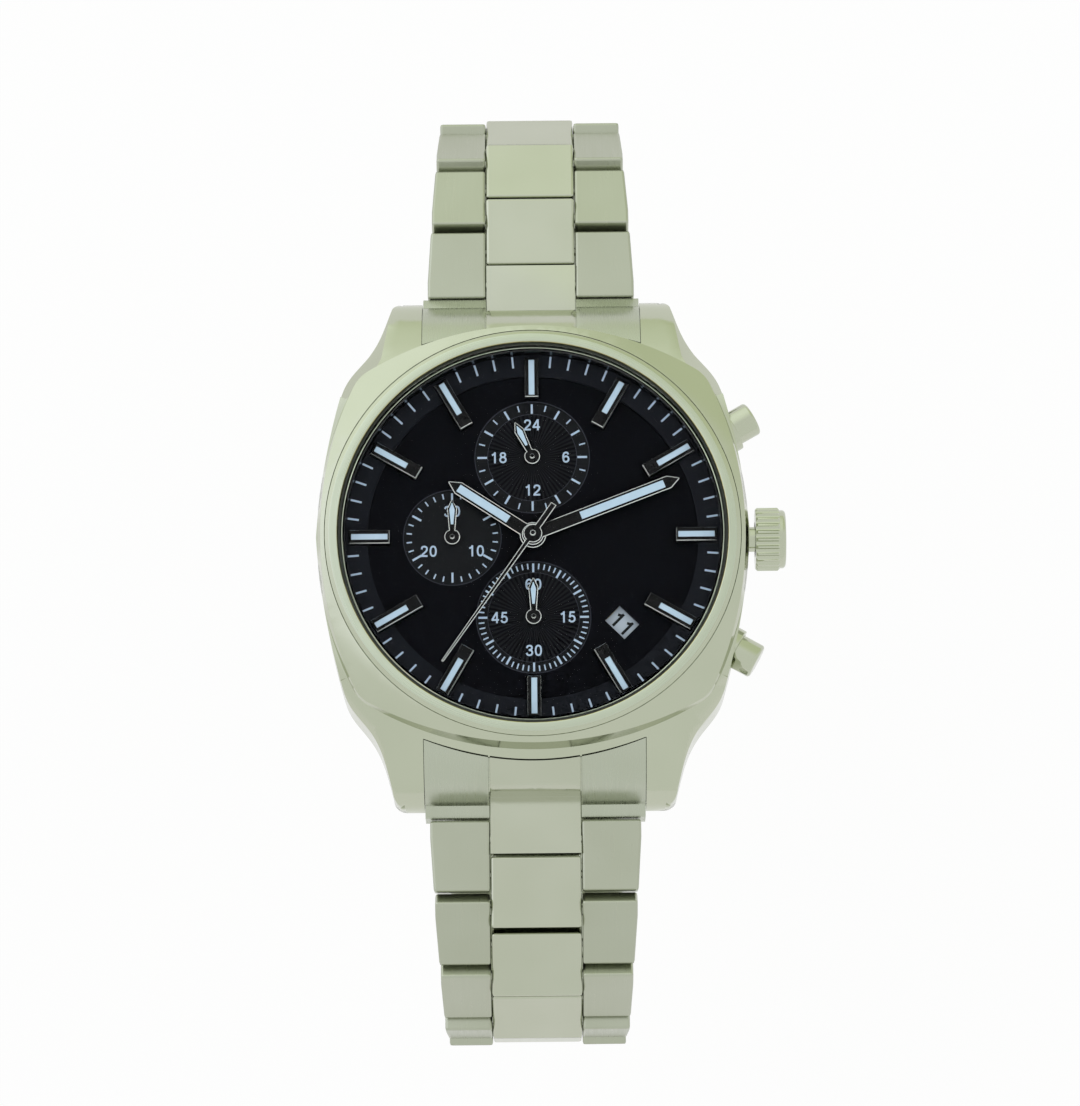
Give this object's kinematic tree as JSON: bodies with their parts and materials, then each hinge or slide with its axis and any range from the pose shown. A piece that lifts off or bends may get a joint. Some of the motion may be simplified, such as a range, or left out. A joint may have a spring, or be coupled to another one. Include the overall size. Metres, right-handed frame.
{
  "type": "chronograph wristwatch",
  "caption": "Chronograph wristwatch with a cushion case, small dials, date, crown and pushers, on a closed three-row steel bracelet with a folding clasp.",
  "frame": {"origin": "centre of the case back's outer flat face", "axes": "+Z out of the dial, +Y towards twelve o'clock, +X towards the crown at three o'clock"},
  "size_m": [0.0466, 0.0974, 0.0497],
  "materials": {
    "case_steel": "satin brushed, polished flanks",
    "bezel_steel": "circular satin",
    "link_steel": "satin brushed",
    "polished_steel": "polished",
    "crystal_glass": "clear",
    "gasket_rubber": "matt",
    "dial_navy": "satin navy lacquer",
    "track_navy": "matt navy",
    "rehaut_black": "satin",
    "hand_black": "black with bright edges",
    "lume": "matt",
    "date_white": "matt",
    "holder_plastic": "matt",
    "movement_brass": "plated",
    "movement_steel": "plain",
    "coil_copper": "enamelled wire",
    "board_green": "solder mask"
  },
  "bodies": {
    "case": {"mid_case": "case_steel", "bezel": "bezel_steel", "crystal": "crystal_glass", "case_back": "case_steel", "case_tubes": "polished_steel", "end_link_12": "link_steel", "end_link_6": "link_steel", "spring_bars": "movement_steel", "start_pusher_spring": "movement_steel", "reset_pusher_spring": "movement_steel", "rehaut": "rehaut_black", "dial": "dial_navy", "chapter_ring": "track_navy", "hour_markers": "hand_black", "marker_lume": "lume", "movement_ring": "holder_plastic", "main_plate": "movement_brass", "train_bridge": "movement_steel", "bridge_screws": "movement_steel", "motor_coils": "coil_copper", "circuit_board": "board_green", "battery": "polished_steel", "battery_clamp": "movement_steel", "case_back_gasket": "gasket_rubber", "crystal_gasket": "gasket_rubber"},
    "minute_hand": {"minute_hand": "hand_black", "cannon_pinion": "movement_brass"},
    "hour_hand": {"hour_hand": "hand_black", "hour_wheel": "movement_brass"},
    "day_hand": {"day_hand": "hand_black"},
    "small_seconds": {"small_seconds_hand": "hand_black"},
    "chrono_seconds": {"chrono_seconds_hand": "hand_black", "chrono_arbor": "movement_steel"},
    "minute_counter": {"minute_counter_hand": "hand_black"},
    "date_ring": {"date_ring": "date_white"},
    "crown_slide": {"crown_gasket": "gasket_rubber"},
    "crown": {"crown": "polished_steel", "winding_stem": "movement_steel"},
    "start_pusher": {"start_pusher": "polished_steel"},
    "reset_pusher": {"reset_pusher": "polished_steel"},
    "row_12_1": {"link_12_1": "link_steel"},
    "row_12_2": {"link_12_2": "link_steel"},
    "row_12_3": {"link_12_3": "link_steel"},
    "row_12_4": {"link_12_4": "link_steel"},
    "row_12_5": {"link_12_5": "link_steel"},
    "row_12_6": {"link_12_6": "link_steel"},
    "row_12_7": {"link_12_7": "link_steel"},
    "row_12_8": {"link_12_8": "link_steel"},
    "row_12_9": {"link_12_9": "link_steel"},
    "row_6_1": {"link_6_1": "link_steel"},
    "row_6_2": {"link_6_2": "link_steel"},
    "row_6_3": {"link_6_3": "link_steel"},
    "row_6_4": {"link_6_4": "link_steel"},
    "row_6_5": {"link_6_5": "link_steel"},
    "row_6_6": {"link_6_6": "link_steel"},
    "row_6_7": {"link_6_7": "link_steel"},
    "row_6_8": {"link_6_8": "link_steel"},
    "clasp_base": {"clasp_base_blade": "link_steel"},
    "clasp_middle": {"clasp_middle_blade": "link_steel"},
    "clasp_cover": {"clasp_cover": "link_steel"}
  },
  "joints": [
    {"name": "minute_hand_turn", "type": "hinge", "parent": "case", "child": "minute_hand", "pos_m": [0, 0, 0], "axis": [0, 0, -1], "continuous": true},
    {"name": "hour_hand_turn", "type": "hinge", "parent": "case", "child": "hour_hand", "pos_m": [0, 0, 0], "axis": [0, 0, -1], "continuous": true},
    {"name": "day_hand_turn", "type": "hinge", "parent": "case", "child": "day_hand", "pos_m": [0, 0.00815, 0], "axis": [0, 0, -1], "continuous": true},
    {"name": "small_seconds_turn", "type": "hinge", "parent": "case", "child": "small_seconds", "pos_m": [0, -0.00815, 0], "axis": [0, 0, -1], "continuous": true},
    {"name": "chrono_seconds_turn", "type": "hinge", "parent": "case", "child": "chrono_seconds", "pos_m": [0, 0, 0], "axis": [0, 0, -1], "continuous": true},
    {"name": "minute_counter_turn", "type": "hinge", "parent": "case", "child": "minute_counter", "pos_m": [-0.008, 0, 0], "axis": [0, 0, -1], "continuous": true},
    {"name": "date_ring_turn", "type": "hinge", "parent": "case", "child": "date_ring", "pos_m": [0, 0, 0], "axis": [0, 0, -1], "continuous": true},
    {"name": "crown_pull", "type": "slide", "parent": "case", "child": "crown_slide", "axis": [1, 0, 0], "range_m": [-0.0005, 0.0005]},
    {"name": "crown_turn", "type": "hinge", "parent": "crown_slide", "child": "crown", "pos_m": [0, 0, 0.0062], "axis": [1, 0, 0], "continuous": true},
    {"name": "start_press", "type": "slide", "parent": "case", "child": "start_pusher", "axis": [-0.8704, -0.4924, 0], "range_m": [0, 0.0008], "stiffness_N_per_m": 1200, "springref_m": -0.0012, "deforming": ["start_pusher_spring"]},
    {"name": "reset_press", "type": "slide", "parent": "case", "child": "reset_pusher", "axis": [-0.8704, 0.4924, 0], "range_m": [0, 0.0008], "stiffness_N_per_m": 1200, "springref_m": -0.0012, "deforming": ["reset_pusher_spring"]},
    {"name": "row_12_1_bend", "type": "hinge", "parent": "case", "child": "row_12_1", "pos_m": [0, 0.02865, -0.0012], "axis": [1, 0, 0], "range_deg": [0, 4]},
    {"name": "row_12_2_bend", "type": "hinge", "parent": "row_12_1", "child": "row_12_2", "pos_m": [0, 0.03585, -0.00145], "axis": [1, 0, 0], "range_deg": [0, 23]},
    {"name": "row_12_3_bend", "type": "hinge", "parent": "row_12_2", "child": "row_12_3", "pos_m": [0, 0.04247, -0.00426], "axis": [1, 0, 0], "range_deg": [0, 29]},
    {"name": "row_12_4_bend", "type": "hinge", "parent": "row_12_3", "child": "row_12_4", "pos_m": [0, 0.0471, -0.00978], "axis": [1, 0, 0], "range_deg": [0, 30]},
    {"name": "row_12_5_bend", "type": "hinge", "parent": "row_12_4", "child": "row_12_5", "pos_m": [0, 0.0486, -0.01682], "axis": [1, 0, 0], "range_deg": [0, 28.64]},
    {"name": "row_12_6_bend", "type": "hinge", "parent": "row_12_5", "child": "row_12_6", "pos_m": [0, 0.04678, -0.02379], "axis": [1, 0, 0], "range_deg": [0, 25.34]},
    {"name": "row_12_7_bend", "type": "hinge", "parent": "row_12_6", "child": "row_12_7", "pos_m": [0, 0.04235, -0.02946], "axis": [1, 0, 0], "range_deg": [0, 21.75]},
    {"name": "row_12_8_bend", "type": "hinge", "parent": "row_12_7", "child": "row_12_8", "pos_m": [0, 0.03626, -0.03331], "axis": [1, 0, 0], "range_deg": [0, 17.81]},
    {"name": "row_12_9_bend", "type": "hinge", "parent": "row_12_8", "child": "row_12_9", "pos_m": [0, 0.02935, -0.03535], "axis": [1, 0, 0], "range_deg": [0, 13.25]},
    {"name": "row_6_1_bend", "type": "hinge", "parent": "case", "child": "row_6_1", "pos_m": [0, -0.02865, -0.0012], "axis": [-1, 0, 0], "range_deg": [0, 8]},
    {"name": "row_6_2_bend", "type": "hinge", "parent": "row_6_1", "child": "row_6_2", "pos_m": [0, -0.03581, -0.00195], "axis": [-1, 0, 0], "range_deg": [0, 33]},
    {"name": "row_6_3_bend", "type": "hinge", "parent": "row_6_2", "child": "row_6_3", "pos_m": [0, -0.04156, -0.00629], "axis": [-1, 0, 0], "range_deg": [0, 27]},
    {"name": "row_6_4_bend", "type": "hinge", "parent": "row_6_3", "child": "row_6_4", "pos_m": [0, -0.04494, -0.01264], "axis": [-1, 0, 0], "range_deg": [0, 31]},
    {"name": "row_6_5_bend", "type": "hinge", "parent": "row_6_4", "child": "row_6_5", "pos_m": [0, -0.04482, -0.01984], "axis": [-1, 0, 0], "range_deg": [0, 29.56]},
    {"name": "row_6_6_bend", "type": "hinge", "parent": "row_6_5", "child": "row_6_6", "pos_m": [0, -0.04137, -0.02617], "axis": [-1, 0, 0], "range_deg": [0, 25.33]},
    {"name": "row_6_7_bend", "type": "hinge", "parent": "row_6_6", "child": "row_6_7", "pos_m": [0, -0.03571, -0.03061], "axis": [-1, 0, 0], "range_deg": [0, 20.67]},
    {"name": "row_6_8_bend", "type": "hinge", "parent": "row_6_7", "child": "row_6_8", "pos_m": [0, -0.02892, -0.033], "axis": [-1, 0, 0], "range_deg": [0, 15.29]},
    {"name": "clasp_base_fold", "type": "hinge", "parent": "row_6_8", "child": "clasp_base", "pos_m": [0, -0.02176, -0.03378], "axis": [-1, 0, 0], "range_deg": [0, 5.25]},
    {"name": "clasp_unfold", "type": "hinge", "parent": "clasp_base", "child": "clasp_middle", "pos_m": [0, 0.01421, -0.0353], "axis": [1, 0, 0], "range_deg": [0, 150]},
    {"name": "clasp_cover_open", "type": "hinge", "parent": "clasp_middle", "child": "clasp_cover", "pos_m": [0, -0.01659, -0.03444], "axis": [1, 0, 0], "range_deg": [-150, 0]}
  ],
  "couplings": [
    {"joint": "hour_hand_turn", "follows": "minute_hand_turn", "ratio": 0.083333},
    {"joint": "day_hand_turn", "follows": "minute_hand_turn", "ratio": 0.041667},
    {"joint": "minute_counter_turn", "follows": "chrono_seconds_turn", "ratio": 0.033333},
    {"joint": "clasp_cover_open", "follows": "clasp_unfold", "ratio": -1}
  ]
}
